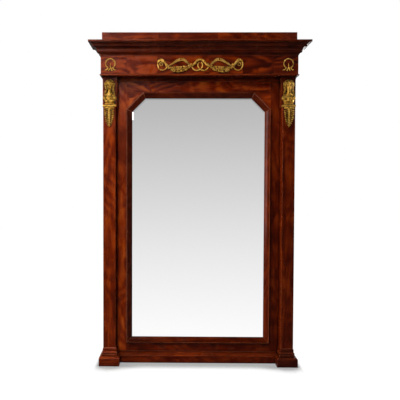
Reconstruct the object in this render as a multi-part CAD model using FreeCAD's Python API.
"""Pier mirror: a mahogany case with two pilasters, an entablature and gilt bronze mounts.

Millimetres, +Z up, the front towards -Y, the wall behind at +Y. The origin is the middle of the
footprint on the floor. Depths are counted forward from the wall.
"""
import FreeCAD, Part
import math
import os

from FreeCAD import Vector

os.makedirs("parts", exist_ok=True)

# Depths of the main faces, counted forward from the wall, and the steps between them
flat_depth = 46.0
frieze_depth = 128.0
shaft_set_back = 10.0
bust_block_set_back = 27.0

# Entablature
frieze_half_width = 533.0
soffit_height = 1585.0
frieze_foot_fillet = 6.0
frieze_face_height = 102.0
foot_fillet_projection = 4.5
crown_projection = 60.0
crown_fillet = 10.0
crown_soffit = 13.0
crown_soffit_fall = 1.0
crown_quirk = 3.0
upper_cove_width = 10.0
upper_cove_height = 9.5
bead_width = 6.0
bead_height = 6.5
lower_cove_width = 12.0
lower_cove_height = 11.0
cove_toe = 1.0
bed_projection = 17.5
bed_fillet = 10.0
bed_ovolo_width = 9.0
bed_ovolo_height = 8.0
bed_cove_toe = 1.5
attic_height = 55.0
attic_set_back = 6.0
architrave_height = 17.0
architrave_projection = 5.0

# Pilasters
shaft_set_in = 12.0
shaft_width = 67.0
bust_block_height = 153.0
shelf_thickness = 9.0
shelf_projection = 2.2
block_overhang = 6.0
abacus_thickness = 13.0
abacus_projection = 2.0

# Bases and base rail
plinth_projection = 22.5
plinth_face_height = 43.0
plinth_chamfer = 8.0
base_neck_height = 15.0
base_upper_projection = 7.0
base_upper_band = 7.0
base_ovolo_height = 10.0
base_ovolo_width = 4.5
base_groove_depth = 2.5
base_groove_width = 3.5
base_lower_band = 8.0
base_lower_extra = 1.0
base_neck_drop = 2.0
rail_depth = 72.0
rail_plinth_height = 36.0
rail_fillet_height = 4.0
rail_fillet_set_back = 1.5
rail_ovolo_height = 9.0
rail_ovolo_width = 5.0
rail_ledge_rise = 5.0
rail_bead_height = 7.0
rail_bead_depth = 5.0

# Inner frame, sight moulding and plate
stile_width = 54.0
top_rail_height = 79.0
bottom_rail_height = 107.0
frame_thickness = 30.0
sight_cant = 75.0
moulding_width = 31.0
moulding_rise = 10.0
moulding_arris = 4.0
moulding_arris_fall = 1.5
moulding_lip_width = 11.0
moulding_lip_edge = 2.5
plate_thickness = 5.0
plate_clearance = 1.0
plate_bevel_width = 18.0
plate_bevel_depth = 1.5
plate_set_back = 8.0

# Boards and joinery
side_board = 16.0
front_board = 20.0
soffit_board_thickness = 12.0
cornice_board_thickness = 16.0
rear_board_thickness = 12.0
attic_board = 16.0
attic_top_thickness = 8.0
attic_top_recess = 3.0
back_board_thickness = 8.0
back_board_gap = 1.0
back_board_count = 5
glue_block_leg = 16.0
glue_block_length = 70.0
shaft_block_count = 5
cornice_block_count = 7
glazing_block_length = 60.0
glazing_block_width = 19.0
glazing_block_depth = 13.0
glazing_side_count = 5
glazing_cross_count = 3

# Wood screws
screw_shank = 2.0
screw_head = 4.0
screw_head_depth = 2.5
screw_length = 24.0
screw_inset = 22.0

# Wall plates
wall_plate_set_in = 131.0
wall_plate_rise = 70.0
wall_plate_width = 44.0
wall_plate_height = 70.0
wall_plate_thickness = 3.0
wall_hole = 4.0
wall_pocket = 7.0
wall_pocket_depth = 6.0
wall_screw_inset = 9.0
wall_screw_cover = 1.0

# Studs on the backs of the mounts
stud_radius = 1.5
stud_clearance = 0.1
stud_cover = 4.0

# Wreaths
wreath_set_in = 7.5
wreath_radius = 26.5
wreath_tube = 4.6
wreath_leaf_count = 25
wreath_rise = 6.0
wreath_half_opening_deg = 27.0
wreath_bow_knot = 4.5
wreath_bow_start = 20.0
wreath_bow_spread = 12.0
wreath_bow_drop = 39.0
wreath_tail_length = 16.0
wreath_tail_drop = 9.0
ribbon_tube = 2.6
torch_top = 5.0
torch_radius = 2.8
torch_tip = 1.0

# Festoon mount, about the middle of the frieze
festoon_rise = 4.0
end_ring_middle = 207.0
end_ring_radius = 27.0
middle_ring_offset = 13.0
middle_ring_radius = 28.0
ring_tube = 2.6
garland_outer = 176.0
garland_inner = 51.0
garland_end_drop = 6.0
garland_sag = 21.0
garland_flower = 10.5
garland_end_flower = 6.0
garland_flower_count = 11
garland_tube = 4.0
palm_root_drop = 5.0
palm_tip_rise = 28.0
palm_tip_gap = 3.0
palm_thickness = 4.0
tie_radius = 9.0
tie_outer = 180.0
tie_inner = 45.0
tie_drop = 2.0

# Busts
bust_head_room = 3.0
bust_half_width = 38.5
bust_half_depth = 17.0
bust_centre = 15.0
bust_screw_height = 36.0
bust_screw_hold = 11.0
breast_radius = 13.0
breast_spread = 16.0
breast_height = 24.0
breast_forward = 21.0
lock_radius = 6.5
lock_curl = 7.5
lock_top_height = 88.0
lock_top_spread = 21.0
lock_foot_height = 46.0
lock_foot_spread = 28.0
lock_forward = 13.0

# Leaf drops
leaf_half_width = 27.0
leaf_length = 110.0
leaf_shoulder = 76.0
leaf_shoulder_half_width = 19.5
leaf_top_gap = 2.0
leaf_thickness = 3.5
leaf_rib_half_width = 9.0
leaf_rib_rise = 4.5
leaf_tooth_count = 8
leaf_tooth_depth = 6.0
leaf_tip_half_width = 4.0

# Worked out from the sizes above
wall_y = (frieze_depth + crown_projection) / 2
shaft_depth = frieze_depth - shaft_set_back
bust_block_depth = shaft_depth - bust_block_set_back
frame_back_depth = flat_depth - frame_thickness
plate_front_depth = flat_depth - plate_set_back
plate_hold = moulding_lip_width - plate_clearance
crown_height = (crown_fillet + crown_soffit_fall + crown_quirk + upper_cove_height
                + bead_height + lower_cove_height + cove_toe)
frieze_foot = soffit_height + frieze_foot_fillet
frieze_top = frieze_foot + frieze_face_height
bed_height = bed_fillet + 2 * bed_ovolo_height + bed_cove_toe
crown_foot = frieze_top + bed_height
crown_top = crown_foot + crown_height
total_height = crown_top + attic_height
shaft_outer = frieze_half_width - shaft_set_in
shaft_inner = shaft_outer - shaft_width
shaft_middle = shaft_outer - shaft_width / 2
shaft_block_top = soffit_height - abacus_thickness
shelf_height = shaft_block_top - bust_block_height
shelf_top = shelf_height + shelf_thickness
bust_height = shaft_block_top - shelf_top - bust_head_room
plinth_top = plinth_face_height + plinth_chamfer
base_course_height = (plinth_top + 2 * base_groove_width + base_lower_band + base_upper_band
                      + base_ovolo_height + base_neck_height)
moulding_outer = shaft_inner - stile_width
sight_half_width = moulding_outer - moulding_width
sight_bottom = bottom_rail_height + moulding_width
sight_top = soffit_height - top_rail_height - moulding_width
attic_half_width = frieze_half_width - attic_set_back
attic_depth = frieze_depth - attic_set_back
frieze_middle = frieze_foot + frieze_face_height / 2
stud_length = front_board - stud_cover
wreath_reach = shaft_middle - wreath_set_in
wreath_centre = frieze_middle + wreath_rise
festoon_height = frieze_middle + festoon_rise
rear_half_width = attic_half_width - attic_board
wall_plate_reach = rear_half_width - wall_plate_set_in
wall_plate_middle = soffit_height + soffit_board_thickness + wall_plate_rise
wall_screw_length = rear_board_thickness - wall_screw_cover
bust_screw_length = bust_block_depth - flat_depth + bust_screw_hold

# Swell of the curved stretches, as a share of their chords
cove_share = 0.16
bead_share = 0.3
cyma_share = 0.14
round_share = 0.2
hollow_share = 0.07
tooth_share = 0.2
palm_bulge_share = 0.12

SIDES = (("left", -1), ("right", 1))


# Helpers

def box(x_low, x_high, depth_low, depth_high, z_low, z_high):
    """A box between two places across, two depths from the wall and two heights."""
    corner = Vector(x_low, wall_y - depth_high, z_low)
    return Part.makeBox(x_high - x_low, depth_high - depth_low, z_high - z_low, corner)


def bulge_point(start, end, bulge_share):
    """The middle of an arc from start to end that swells left of the chord by a share of it."""
    middle_a = (start[0] + end[0]) / 2 - (end[1] - start[1]) * bulge_share
    middle_b = (start[1] + end[1]) / 2 + (end[0] - start[0]) * bulge_share
    return middle_a, middle_b


def outline_face(points, place):
    """A face from outline points (a, b) or (a, b, bulge share of the stretch that follows)."""
    edges = []
    for index, point in enumerate(points):
        following = points[(index + 1) % len(points)]
        start = place(point[0], point[1])
        end = place(following[0], following[1])
        if len(point) > 2:
            middle_a, middle_b = bulge_point(point, following, point[2])
            edges.append(Part.Arc(start, place(middle_a, middle_b), end).toShape())
        else:
            edges.append(Part.makeLine(start, end))
    return Part.Face(Part.Wire(edges))


def run_across(points, x_low, x_high):
    """A moulding along X from an outline of (depth, height) points."""
    face = outline_face(points, lambda depth, z: Vector(x_low, wall_y - depth, z))
    return face.extrude(Vector(x_high - x_low, 0, 0))


def panel(points, depth_low, depth_high):
    """An upright panel, or a moulding along Y, from an outline of (x, height) points."""
    face = outline_face(points, lambda x, z: Vector(x, wall_y - depth_low, z))
    return face.extrude(Vector(0, depth_low - depth_high, 0))


def plan_prism(points, z_low, z_high):
    """An upright prism from a plan of (x, depth) points."""
    face = outline_face(points, lambda x, depth: Vector(x, wall_y - depth, z_low))
    return face.extrude(Vector(0, 0, z_high - z_low))


def mirrored(shape, sign):
    """The shape itself for +1, its image in the middle plane for -1."""
    if sign > 0:
        return shape
    return shape.mirror(Vector(0, 0, 0), Vector(1, 0, 0))


def wood_screw(x, z, mouth_depth, length):
    """A countersunk screw that goes forward from its mouth, and the shape of its hole."""
    forward = Vector(0, -1, 0)
    mouth = Vector(x, wall_y - mouth_depth, z)
    head = Part.makeCone(screw_head, screw_shank, screw_head_depth, mouth, forward)
    shank = Part.makeCylinder(screw_shank, length, mouth, forward)
    return head.fuse(shank).removeSplitter()


def without(shape, tools):
    """The shape with each tool cut away."""
    return shape.cut(Part.makeCompound(tools)) if tools else shape


def save(name, solids):
    """Write one node as one solid, or as a group of separate solids."""
    shape = solids if isinstance(solids, Part.Shape) else Part.makeCompound(solids)
    found = shape.Solids
    if len(found) == 1:
        shape = found[0]
    if not shape.isValid():
        print("not valid:", name)
    shape.exportStep("parts/" + name + ".step")
    print(f"{name:34s} solids {len(found):3d}  volume {shape.Volume / 1000:10.1f} cm3")


# Cornice: a moulding that goes round the front and both ends, mitred at the corners

def mitre_wedge(reach, z_low, z_high):
    """The room of a front piece, between the two upright mitre planes."""
    corner = frieze_half_width
    plan = [(-corner, frieze_depth), (corner, frieze_depth),
            (corner + reach, frieze_depth + reach), (-corner - reach, frieze_depth + reach)]
    return plan_prism(plan, z_low, z_high)


def return_wedge(reach, z_low, z_high):
    """The room of the right-hand end piece, behind its mitre plane."""
    corner = frieze_half_width
    plan = [(corner, 0), (corner, frieze_depth),
            (corner + reach, frieze_depth + reach), (corner + reach, 0)]
    return plan_prism(plan, z_low, z_high)


def cornice_run(profile, reach, z_low, z_high):
    """Front, left and right pieces of a moulding given by (projection, height) points."""
    width = frieze_half_width + reach
    front_points = [(frieze_depth + p[0], *p[1:]) for p in profile]
    front = run_across(front_points, -width, width).common(mitre_wedge(reach, z_low, z_high))
    end_points = [(frieze_half_width + p[0], *p[1:]) for p in profile]
    end = panel(end_points, 0, frieze_depth + reach).common(return_wedge(reach, z_low, z_high))
    return front, mirrored(end, -1), end


def crown_profile():
    """Fillet, soffit, cove, bead and second cove, from the top down."""
    z = crown_top
    q = crown_projection
    points = [(0, z), (q, z)]
    z -= crown_fillet
    points.append((q, z))
    q -= crown_soffit
    z -= crown_soffit_fall
    points.append((q, z))
    z -= crown_quirk
    points.append((q, z, -cove_share))
    q -= upper_cove_width
    z -= upper_cove_height
    points.append((q, z, bead_share))
    q -= bead_width
    z -= bead_height
    points.append((q, z, -cove_share))
    q -= lower_cove_width
    z -= lower_cove_height
    points.append((q, z))
    points.append((q, z - cove_toe))
    points.append((0, z - cove_toe))
    return points


def bed_profile():
    """Fillet over a cyma that dies into the frieze."""
    z = crown_foot
    points = [(0, z), (bed_projection, z)]
    z -= bed_fillet
    points.append((bed_projection, z, cyma_share))
    z -= bed_ovolo_height
    points.append((bed_ovolo_width, z, -cyma_share))
    z -= bed_ovolo_height
    points.append((bed_cove_toe, z))
    points.append((bed_cove_toe, z - bed_cove_toe))
    points.append((0, z - bed_cove_toe))
    return points


def make_cornice():
    """Crown moulding, bed moulding and the board that they and the attic are glued to."""
    front, left, right = cornice_run(crown_profile(), crown_projection, crown_foot, crown_top)
    save("crown_moulding_front", front)
    save("crown_moulding_left", left)
    save("crown_moulding_right", right)
    save("bed_mouldings", list(cornice_run(bed_profile(), crown_projection, frieze_top, crown_foot)))
    board_foot = crown_top - cornice_board_thickness
    board = box(-frieze_half_width, frieze_half_width, 0, frieze_depth, board_foot, crown_top)
    save("cornice_board", board.cut(rear_board_shape()))


def rear_board_shape():
    """The board that closes the entablature and the attic from behind."""
    low = soffit_height + soffit_board_thickness
    high = total_height - attic_top_recess
    return box(-rear_half_width, rear_half_width, 0, rear_board_thickness, low, high)


def make_attic():
    """Blocking course: front board, two returns and a top board set a little down."""
    inner = rear_half_width
    save("attic_front", box(-attic_half_width, attic_half_width, attic_depth - attic_board,
                            attic_depth, crown_top, total_height))
    for side, sign in SIDES:
        board = box(inner, attic_half_width, 0, attic_depth - attic_board, crown_top, total_height)
        save("attic_return_" + side, mirrored(board, sign))
    top = total_height - attic_top_recess
    save("attic_top_board", box(-inner, inner, rear_board_thickness, attic_depth - attic_board,
                                top - attic_top_thickness, top))


def make_frieze():
    """Frieze boards, their foot fillets and the soffit board between them."""
    board_top = crown_top - cornice_board_thickness
    inner = frieze_half_width - front_board
    front_low = frieze_depth - front_board
    front = box(-frieze_half_width, frieze_half_width, front_low, frieze_depth, frieze_foot, board_top)
    places = festoon_stud_places() + [place for side, sign in SIDES for place in wreath_stud_places(sign)]
    save("frieze_front", without(front, stud_holes(places, frieze_depth)))
    for side, sign in SIDES:
        board = box(inner, frieze_half_width, 0, front_low, frieze_foot, board_top)
        save("frieze_return_" + side, mirrored(board, sign))
    outer = frieze_half_width + foot_fillet_projection
    fillet_front = box(-outer, outer, front_low, frieze_depth + foot_fillet_projection,
                       soffit_height, frieze_foot)
    fillet_end = box(inner, outer, 0, front_low, soffit_height, frieze_foot)
    save("frieze_foot_fillets", [fillet_front, fillet_end, mirrored(fillet_end, -1)])
    save("soffit_board", box(-inner, inner, 0, front_low, soffit_height,
                             soffit_height + soffit_board_thickness))


# Pilasters

def make_architrave():
    """The strip over the top rail and the abacus plates over the busts."""
    abacus_inner = shaft_inner - block_overhang - abacus_projection
    abacus_outer = shaft_outer + block_overhang + abacus_projection
    low = soffit_height - architrave_height
    save("architrave_strip", box(-abacus_inner, abacus_inner, flat_depth,
                                 flat_depth + architrave_projection, low, soffit_height))
    for side, sign in SIDES:
        plate = box(abacus_inner, abacus_outer, flat_depth, bust_block_depth + abacus_projection,
                    shaft_block_top, soffit_height)
        save("abacus_" + side, mirrored(plate, sign))


def make_bust_blocks():
    """The block behind each bust, with an arm that runs back to the wall."""
    inner = shaft_inner - block_overhang
    outer = shaft_outer + block_overhang
    for side, sign in SIDES:
        front = box(inner, outer, flat_depth, bust_block_depth, shelf_height, shaft_block_top)
        arm = box(outer - side_board, outer, 0, flat_depth, shelf_height, soffit_height)
        block = front.fuse(arm).removeSplitter()
        save("bust_block_" + side, mirrored(block.cut(bust_screw()), sign))


def bust_screw():
    """The screw that holds the right-hand bust from behind its block."""
    return wood_screw(shaft_middle, shelf_top + bust_screw_height, flat_depth, bust_screw_length)


def make_shafts():
    """Each shaft is a box of three boards: front, outer side and inner side."""
    for side, sign in SIDES:
        front_low = shaft_depth - front_board
        front = box(shaft_inner, shaft_outer, front_low, shaft_depth, base_course_height, shelf_height)
        front = without(front, stud_holes(leaf_stud_places(), shaft_depth))
        outer = box(shaft_outer - side_board, shaft_outer, 0, front_low, base_course_height, shelf_height)
        inner = box(shaft_inner, shaft_inner + side_board, frame_back_depth, front_low,
                    base_course_height, shelf_height)
        save("pilaster_front_" + side, mirrored(front, sign))
        save("pilaster_outer_side_" + side, mirrored(outer, sign))
        save("pilaster_inner_side_" + side, mirrored(inner, sign))


# Bases

def base_section():
    """Both base courses as (projection, height) points, from the plinth up to the shaft."""
    z = plinth_top
    q = base_upper_projection + base_lower_extra
    points = [(0, z), (q - base_groove_depth, z)]
    z += base_groove_width
    points.append((q - base_groove_depth, z))
    points.append((q, z))
    z += base_lower_band
    points.append((q, z))
    points.append((q - base_groove_depth, z))
    z += base_groove_width
    points.append((q - base_groove_depth, z))
    points.append((base_upper_projection, z))
    z += base_upper_band
    points.append((base_upper_projection, z, round_share))
    z += base_ovolo_height
    points.append((base_upper_projection - base_ovolo_width, z, -cove_share))
    points.append((0, base_course_height - base_neck_drop))
    points.append((0, base_course_height))
    core = shaft_width / 2
    return [(-core, base_course_height), (-core, plinth_top)] + points


def wrapped(section, reach):
    """A base moulding that follows its section on the front, the inner and the outer side."""
    z_low = min(point[1] for point in section)
    z_high = max(point[1] for point in section)
    front = run_across([(shaft_depth + p[0], *p[1:]) for p in section],
                       shaft_inner - reach, shaft_outer + reach)
    fill = box(shaft_inner - reach, shaft_outer + reach, 0, shaft_depth - shaft_width / 2, z_low, z_high)
    outer = panel([(shaft_outer + p[0], *p[1:]) for p in section], 0, shaft_depth + reach)
    inner_points = [(shaft_inner - p[0], p[1], *[-share for share in p[2:]]) for p in section]
    inner = panel(inner_points, 0, shaft_depth + reach)
    across = outer.fuse(inner).removeSplitter()
    return front.fuse(fill).removeSplitter().common(across)


def behind_frame():
    """The room taken by the stile, inward of the pilaster and behind the frame's flat."""
    return box(0, shaft_inner, 0, flat_depth, 0, total_height)


def plinth_section():
    """Plinth block: upright face and chamfer."""
    core = shaft_width / 2
    q = plinth_projection
    return [(-core, 0), (q, 0), (q, plinth_face_height), (q - plinth_chamfer, plinth_top),
            (-core, plinth_top)]


def base_solids():
    """The right-hand base course and plinth block."""
    course = wrapped(base_section(), plinth_projection).cut(behind_frame())
    plinth = wrapped(plinth_section(), plinth_projection).cut(behind_frame())
    return course, plinth


def make_bases():
    """Base courses, plinth blocks, and the base rail with its moulding between them."""
    course, plinth = base_solids()
    for side, sign in SIDES:
        save("base_course_" + side, mirrored(course, sign))
        save("plinth_block_" + side, mirrored(plinth, sign))
    rail_end = shaft_inner - plinth_projection
    save("base_rail", box(-rail_end, rail_end, flat_depth, rail_depth, 0, rail_plinth_height))
    ends = [mirrored(shape, sign) for shape in (course, plinth) for side, sign in SIDES]
    moulding = run_across(rail_section(), -shaft_inner, shaft_inner)
    save("base_rail_moulding", without(moulding, ends))


def rail_section():
    """Base rail moulding: fillet, ovolo, a ledge that rises to the frame, and a bead on it."""
    z = rail_plinth_height
    depth = rail_depth - rail_fillet_set_back
    points = [(flat_depth, z), (depth, z)]
    z += rail_fillet_height
    points.append((depth, z, round_share))
    z += rail_ovolo_height
    depth -= rail_ovolo_width
    points.append((depth, z))
    z += rail_ledge_rise
    points.append((flat_depth + rail_bead_depth, z))
    z += rail_bead_height
    points.append((flat_depth + rail_bead_depth, z))
    points.append((flat_depth, z))
    return points


# Inner frame, sight moulding and plate

def sight_corners(offset):
    """The six corners of the sight opening, moved outward by an offset, from the bottom left on."""
    half = sight_half_width + offset
    low = sight_bottom - offset
    high = sight_top + offset
    cant = sight_cant + offset * (2 - math.sqrt(2))
    return [(-half, low), (half, low), (half, high - cant), (half - cant, high),
            (-half + cant, high), (-half, high - cant)]


def sight_section():
    """Sight moulding as (distance out from the sight edge, depth) points."""
    crest = flat_depth + moulding_rise
    lip = plate_front_depth + moulding_lip_edge
    slope_end = moulding_width - moulding_arris
    return [(0, plate_front_depth), (0, lip, hollow_share),
            (slope_end, crest - moulding_arris_fall), (slope_end, crest), (moulding_width, crest),
            (moulding_width, frame_back_depth), (moulding_lip_width, frame_back_depth),
            (moulding_lip_width, plate_front_depth)]


def sight_piece(start, end, start_out, end_out):
    """One length of sight moulding between its two mitre planes."""
    along = Vector(end[0] - start[0], 0, end[1] - start[1])
    length = along.Length
    along.normalize()
    out = Vector(along.z, 0, -along.x)
    origin = Vector(start[0], 0, start[1]) - along * moulding_width
    face = outline_face(sight_section(),
                        lambda away, depth: origin + out * away + Vector(0, wall_y - depth, 0))
    bar = face.extrude(along * (length + 2 * moulding_width))
    room = [start, end, end_out, start_out]
    return bar.common(panel(room, 0, frieze_depth))


def make_frame():
    """Stiles, rails and corner pieces of the flat frame."""
    outer = sight_corners(moulding_width)
    half = moulding_outer
    low = outer[0][1]
    high = outer[3][1]
    holes = back_screws()
    for side, sign in SIDES:
        stile = box(half, shaft_inner, frame_back_depth, flat_depth, 0, soffit_height)
        save("stile_" + side, without(mirrored(stile, sign), holes))
        corner = panel([outer[2], (half, high), outer[3]], frame_back_depth, flat_depth)
        save("corner_piece_" + side, mirrored(corner, sign))
    save("bottom_rail", box(-half, half, frame_back_depth, flat_depth, 0, low))
    save("top_rail", box(-half, half, frame_back_depth, flat_depth, high, soffit_height))


def make_sight_mouldings():
    """Six mitred lengths of moulding round the plate."""
    inner = sight_corners(0)
    outer = sight_corners(moulding_width)
    names = ("bottom", "right", "cant_right", "top", "cant_left", "left")
    for index, name in enumerate(names):
        following = (index + 1) % len(names)
        piece = sight_piece(inner[index], inner[following], outer[index], outer[following])
        save("sight_moulding_" + name, piece)


def make_plate():
    """Mirror plate with canted corners and a narrow bevel all round its face."""
    edge = sight_corners(plate_hold)
    field = sight_corners(plate_hold - plate_bevel_width)
    back = plate_front_depth - plate_thickness
    shoulder = plate_front_depth - plate_bevel_depth

    def wire(corners, depth):
        points = [Vector(x, wall_y - depth, z) for x, z in corners]
        return Part.makePolygon(points + points[:1])

    body = Part.Face(wire(edge, back)).extrude(Vector(0, back - shoulder, 0))
    bevel = Part.makeLoft([wire(edge, shoulder), wire(field, plate_front_depth)], True, True)
    save("mirror_plate", body.fuse(bevel).removeSplitter())


def make_glazing_blocks():
    """Softwood blocks glued in the rebate behind the plate."""
    back = plate_front_depth - plate_thickness
    low = back - glazing_block_depth
    x_wall = sight_half_width + moulding_lip_width
    z_wall_low = sight_bottom - moulding_lip_width
    z_wall_high = sight_top + moulding_lip_width
    blocks = []
    side_run = sight_top - sight_cant - sight_bottom
    for number in range(glazing_side_count):
        middle = sight_bottom + side_run * (number + 1) / (glazing_side_count + 1)
        block = box(x_wall - glazing_block_width, x_wall, low, back,
                    middle - glazing_block_length / 2, middle + glazing_block_length / 2)
        blocks += [block, mirrored(block, -1)]
    cross_run = 2 * (sight_half_width - sight_cant)
    for number in range(glazing_cross_count):
        middle = cross_run * ((number + 1) / (glazing_cross_count + 1) - 1 / 2)
        x_low = middle - glazing_block_length / 2
        x_high = middle + glazing_block_length / 2
        blocks.append(box(x_low, x_high, low, back, z_wall_low, z_wall_low + glazing_block_width))
        blocks.append(box(x_low, x_high, low, back, z_wall_high - glazing_block_width, z_wall_high))
    save("glazing_blocks", blocks)


# Back

def back_board_places():
    """Lower and upper edge of each back board."""
    run = soffit_height - base_course_height
    pitch = run / back_board_count
    for number in range(back_board_count):
        low = base_course_height + pitch * number
        yield low + back_board_gap / 2, low + pitch - back_board_gap / 2


def back_screws():
    """Screws through the ends of the back boards into the stiles."""
    mouth = frame_back_depth - back_board_thickness
    x = (moulding_outer + shaft_inner) / 2
    screws = []
    for low, high in back_board_places():
        for z in (low + screw_inset, high - screw_inset):
            for side, sign in SIDES:
                screws.append(wood_screw(sign * x, z, mouth, screw_length))
    return screws


def make_back():
    """Five back boards and the board behind the entablature."""
    half = shaft_outer - side_board - back_board_gap
    screws = back_screws()
    mouth = frame_back_depth - back_board_thickness
    boards = [without(box(-half, half, mouth, frame_back_depth, low, high), screws)
              for low, high in back_board_places()]
    save("back_boards", boards)
    pocket_depth = wall_plate_thickness + wall_pocket_depth
    cuts = wall_plate_screws()
    for side, sign in SIDES:
        cuts += [wall_plate_blank(sign), wall_bore(sign, wall_pocket, pocket_depth)]
    save("rear_board", without(rear_board_shape(), cuts))


def wall_plate_blank(sign):
    """The outline of a wall plate, let in flush with the back."""
    middle = sign * wall_plate_reach
    return box(middle - wall_plate_width / 2, middle + wall_plate_width / 2, 0, wall_plate_thickness,
               wall_plate_middle - wall_plate_height / 2, wall_plate_middle + wall_plate_height / 2)


def wall_bore(sign, radius, depth):
    """A hole from behind, on the axis of a wall plate's pin hole."""
    mouth = Vector(sign * wall_plate_reach, wall_y, wall_plate_middle)
    return Part.makeCylinder(radius, depth, mouth, Vector(0, -1, 0))


def wall_plate_screws():
    """Four screws in each wall plate."""
    across = wall_plate_width / 2 - wall_screw_inset
    up = wall_plate_height / 2 - wall_screw_inset
    screws = []
    for side, sign in SIDES:
        for step_x in (-across, across):
            for step_z in (-up, up):
                screws.append(wood_screw(sign * wall_plate_reach + step_x, wall_plate_middle + step_z,
                                         0, wall_screw_length))
    return screws


def make_wall_plates():
    """Two brass plates, each with a hole for a pin in the wall."""
    plates = []
    for side, sign in SIDES:
        hole = wall_bore(sign, wall_hole, wall_plate_thickness)
        plates.append(without(wall_plate_blank(sign), [hole] + wall_plate_screws()))
    save("wall_plates", plates)


def make_screws():
    """All wood screws, as separate solids."""
    busts = [mirrored(bust_screw(), sign) for side, sign in SIDES]
    save("wood_screws", back_screws() + wall_plate_screws() + busts)


def make_glue_blocks():
    """Softwood blocks in the corners of the shafts and under the cornice board."""
    leg = glue_block_leg
    front_low = shaft_depth - front_board
    outer = shaft_outer - side_board
    inner = shaft_inner + side_board
    run = shelf_height - base_course_height
    blocks = []
    for number in range(shaft_block_count):
        low = base_course_height + run * (number + 1) / (shaft_block_count + 1) - glue_block_length / 2
        for corner, step in ((outer, -leg), (inner, leg)):
            plan = [(corner, front_low), (corner + step, front_low), (corner, front_low - leg)]
            block = plan_prism(plan, low, low + glue_block_length)
            blocks += [block, mirrored(block, -1)]
    ceiling = crown_top - cornice_board_thickness
    back = frieze_depth - front_board
    span = 2 * (frieze_half_width - front_board)
    section = [(back, ceiling), (back - leg, ceiling), (back, ceiling - leg)]
    for number in range(cornice_block_count):
        middle = span * ((number + 1) / (cornice_block_count + 1) - 1 / 2)
        blocks.append(run_across(section, middle - glue_block_length / 2, middle + glue_block_length / 2))
    save("glue_blocks", blocks)


# Gilt bronze mounts

def stud_holes(places, face_depth):
    """Holes for the studs of a mount that lies on a face."""
    return [stud(x, z, face_depth, stud_radius + stud_clearance) for x, z in places]


def stud(x, z, face_depth, radius):
    """A round stud that runs back from a face."""
    return Part.makeCylinder(radius, stud_length, Vector(x, wall_y - face_depth, z), Vector(0, 1, 0))


def in_front_of(face_depth):
    """Everything in front of a face."""
    return box(-frieze_half_width, frieze_half_width, face_depth, frieze_depth + crown_projection,
               0, total_height)


def bar(start, end, radius, depth):
    """A straight round bar from start to end, both (x, z)."""
    foot = Vector(start[0], wall_y - depth, start[1])
    run = Vector(end[0] - start[0], 0, end[1] - start[1])
    return Part.makeCylinder(radius, run.Length, foot, run)


def knot(x, z, radius, depth):
    """A ball that ties bars together."""
    return Part.makeSphere(radius, Vector(x, wall_y - depth, z))


def ring(x, z, radius, tube, depth):
    """A whole ring that faces forward."""
    return Part.makeTorus(radius, tube, Vector(x, wall_y - depth, z), Vector(0, 1, 0))


def joined(pieces, face_depth, places):
    """One casting: its pieces cut flat at the face it lies on and fused, with its studs."""
    room = in_front_of(face_depth)
    raised = [piece.common(room) for piece in pieces]
    studs = [stud(x, z, face_depth, stud_radius) for x, z in places]
    return raised[0].fuse(raised[1:] + studs).removeSplitter()


def wreath_stud_places(sign):
    """Studs at the top and at both sides of a wreath."""
    x = sign * wreath_reach
    return [(x, wreath_centre + wreath_radius), (x - wreath_radius, wreath_centre),
            (x + wreath_radius, wreath_centre)]


def make_wreaths():
    """Laurel wreath open at the foot, with a torch in it and a bow under it."""
    depth = frieze_depth + ribbon_tube / 2
    half = math.radians(wreath_half_opening_deg)
    foot_x = wreath_radius * math.sin(half)
    foot_z = wreath_centre - wreath_radius * math.cos(half)
    bow_z = wreath_centre - wreath_bow_start
    for side, sign in SIDES:
        x = sign * wreath_reach
        pieces = [knot(x, bow_z, wreath_bow_knot, depth)]
        for number in range(wreath_leaf_count):
            angle = half + 2 * (math.pi - half) * number / (wreath_leaf_count - 1)
            pieces.append(knot(x + wreath_radius * math.sin(angle),
                               wreath_centre - wreath_radius * math.cos(angle), wreath_tube, depth))
        for half_side, toward in SIDES:
            foot = (x + toward * foot_x, foot_z)
            leg_end = (x + toward * wreath_bow_spread, wreath_centre - wreath_bow_drop)
            tail_end = (foot[0] + toward * wreath_tail_length, foot_z - wreath_tail_drop)
            pieces.append(bar((x, bow_z), foot, ribbon_tube, depth))
            pieces.append(bar((x, bow_z), leg_end, ribbon_tube, depth))
            pieces.append(bar(foot, tail_end, ribbon_tube, depth))
        torch_foot = Vector(x, wall_y - depth, bow_z)
        pieces.append(Part.makeCone(torch_radius, torch_tip, torch_top + wreath_bow_start, torch_foot))
        save("wreath_" + side, joined(pieces, frieze_depth, wreath_stud_places(sign)))


def festoon_stud_places():
    """Studs at the ties of the festoon mount."""
    return [(sign * x, festoon_height - tie_drop) for side, sign in SIDES for x in (tie_outer, tie_inner)]


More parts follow.
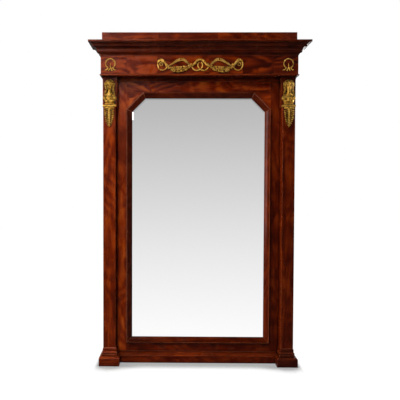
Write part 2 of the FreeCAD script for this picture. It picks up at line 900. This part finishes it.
def festoon_half():
    """The right half: end ring, garland of flowers, two palm leaves, ties and a middle ring."""
    depth = frieze_depth + ring_tube / 2
    z = festoon_height
    pieces = [ring(end_ring_middle, z, end_ring_radius, ring_tube, depth),
              ring(middle_ring_offset, z, middle_ring_radius, ring_tube, depth)]
    half_chord = (garland_outer - garland_inner) / 2
    middle = (garland_outer + garland_inner) / 2
    ends_z = z - garland_end_drop
    radius = (half_chord ** 2 + garland_sag ** 2) / (2 * garland_sag)
    half_angle = math.degrees(math.asin(half_chord / radius))
    pieces.append(garland_stem(middle, ends_z - garland_sag + radius, radius, half_angle))
    for number in range(garland_flower_count):
        along = 2 * number / (garland_flower_count - 1) - 1
        across = along * half_chord
        drop = math.sqrt(radius ** 2 - across ** 2) - (radius - garland_sag)
        size = garland_flower + (garland_end_flower - garland_flower) * along ** 2
        pieces.append(knot(middle + across, ends_z - drop, size, frieze_depth))
    tip_z = z + palm_tip_rise
    for root_x, tip_x in ((garland_inner, middle - palm_tip_gap), (garland_outer, middle + palm_tip_gap)):
        leaf = [(root_x, z - palm_root_drop, palm_bulge_share), (tip_x, tip_z, palm_bulge_share)]
        pieces.append(panel(leaf, frieze_depth, frieze_depth + palm_thickness))
    pieces += [knot(x, z - tie_drop, tie_radius, frieze_depth) for x in (tie_outer, tie_inner)]
    return pieces


def garland_stem(x, z, radius, half_angle):
    """The round stem of a garland: an arc about (x, z) that hangs by a half angle on both sides."""
    stem = Part.makeTorus(radius, garland_tube, Vector(0, 0, 0), Vector(0, 0, 1), 0, 360, 2 * half_angle)
    stem.rotate(Vector(0, 0, 0), Vector(0, 0, 1), -half_angle - 90)
    stem.rotate(Vector(0, 0, 0), Vector(1, 0, 0), 90)
    return stem.translated(Vector(x, wall_y - frieze_depth - ring_tube / 2, z))


def make_festoon():
    """Two garlands between rings of ribbon, in one casting."""
    right = festoon_half()
    left = [mirrored(piece, -1) for piece in right]
    save("festoon_mount", joined(right + left, frieze_depth, festoon_stud_places()))


# Height, half width and half depth of the bust's sections, as shares of its own sizes
bust_section_shares = ((0.0, 0.80, 0.75), (0.09, 0.93, 0.95), (0.20, 1.0, 1.0), (0.30, 0.93, 0.88),
                       (0.35, 0.66, 0.70), (0.40, 0.34, 0.58), (0.50, 0.32, 0.58), (0.56, 0.60, 0.85),
                       (0.66, 0.76, 1.0), (0.76, 0.87, 1.05), (0.87, 0.79, 1.0), (0.95, 0.56, 0.75),
                       (1.0, 0.15, 0.2))


def bust_body():
    """Draped shoulders, neck and head as one turned form, at the right-hand shelf."""
    wires = []
    for height_share, width_share, depth_share in bust_section_shares:
        centre = Vector(shaft_middle, wall_y - bust_block_depth - bust_centre,
                        shelf_top + bust_height * height_share)
        wide = centre + Vector(bust_half_width * width_share, 0, 0)
        deep = centre + Vector(0, bust_half_depth * depth_share, 0)
        wide_first = (wide - centre).Length >= (deep - centre).Length
        points = (wide, deep) if wide_first else (deep, wide)
        wires.append(Part.Wire(Part.Ellipse(*points, centre).toShape()))
    return Part.makeLoft(wires, True, False)


def make_busts():
    """Herm busts: body, two breasts and two locks of hair that fall on the shoulders."""
    front = wall_y - bust_block_depth
    pieces = [bust_body()]
    for side, sign in SIDES:
        breast = Vector(shaft_middle + sign * breast_spread, front - breast_forward,
                        shelf_top + breast_height)
        pieces.append(Part.makeSphere(breast_radius, breast))
        top = (shaft_middle + sign * lock_top_spread, shelf_top + lock_top_height)
        foot = (shaft_middle + sign * lock_foot_spread, shelf_top + lock_foot_height)
        pieces.append(bar(top, foot, lock_radius, bust_block_depth + lock_forward))
        pieces.append(knot(*foot, lock_curl, bust_block_depth + lock_forward))
    room = box(shaft_inner - block_overhang, shaft_outer + block_overhang, bust_block_depth,
               frieze_depth + crown_projection, shelf_top, shaft_block_top)
    body = pieces[0].fuse(pieces[1:]).common(room).cut(bust_screw())
    for side, sign in SIDES:
        save("bust_" + side, mirrored(body, sign))


def make_shelves():
    """The gilt shelf on each shaft, under the bust."""
    for side, sign in SIDES:
        shelf = box(shaft_inner - shelf_projection, shaft_outer + shelf_projection, bust_block_depth,
                    shaft_depth + shelf_projection, shelf_height, shelf_top)
        save("bust_shelf_" + side, mirrored(shelf, sign))


def leaf_stud_places():
    """Studs near the top and the tip of the right-hand leaf drop."""
    top = shelf_height - leaf_top_gap
    return [(shaft_middle, top - leaf_length * place_share) for place_share in leaf_stud_shares]


leaf_stud_shares = (0.15, 0.75)


def leaf_outline():
    """A pointed drop with rounded teeth down both edges, from the top right round to the top left."""
    top = shelf_height - leaf_top_gap
    pitch = leaf_length / (leaf_tooth_count + 1)

    def half_width(fall):
        if fall <= leaf_shoulder:
            return leaf_half_width + (leaf_shoulder_half_width - leaf_half_width) * fall / leaf_shoulder
        share = (fall - leaf_shoulder) / (leaf_length - leaf_shoulder)
        return leaf_shoulder_half_width + (leaf_tip_half_width - leaf_shoulder_half_width) * share

    right = []
    for number in range(leaf_tooth_count):
        fall = pitch * number
        width = half_width(fall)
        right.append((width, fall, tooth_share))
        right.append((half_width(fall + pitch) - leaf_tooth_depth * width / leaf_half_width, fall + pitch))
    left = []
    for index in range(len(right) - 1, -1, -1):
        share = right[index - 1][2:] if index else ()
        left.append((-right[index][0], right[index][1], *share))
    tip = [(0, leaf_length)]
    return [(shaft_middle + p[0], top - p[1], *[-v for v in p[2:]]) for p in right + tip + left]


def make_leaf_drops():
    """The leaf drop under each shelf: a toothed plate with a raised middle rib."""
    plate = panel(leaf_outline(), shaft_depth, shaft_depth + leaf_thickness)
    top = shelf_height - leaf_top_gap
    tip = Vector(shaft_middle, wall_y - shaft_depth, top - leaf_length)
    height = leaf_length - leaf_top_gap
    rib = Part.makeCone(leaf_thickness / 2, leaf_rib_half_width, height, tip, Vector(0, 0, 1))
    room = box(shaft_inner, shaft_outer, shaft_depth, shaft_depth + leaf_thickness + leaf_rib_rise,
               0, shelf_height)
    studs = [stud(x, z, shaft_depth, stud_radius) for x, z in leaf_stud_places()]
    drop = plate.fuse(rib.common(room)).fuse(studs).removeSplitter()
    for side, sign in SIDES:
        save("leaf_drop_" + side, mirrored(drop, sign))


def make_all():
    """Write every node."""
    make_attic()
    make_cornice()
    make_frieze()
    make_architrave()
    make_bust_blocks()
    make_shafts()
    make_bases()
    make_frame()
    make_sight_mouldings()
    make_plate()
    make_glazing_blocks()
    make_back()
    make_wall_plates()
    make_screws()
    make_glue_blocks()
    make_wreaths()
    make_festoon()
    make_shelves()
    make_busts()
    make_leaf_drops()


make_all()
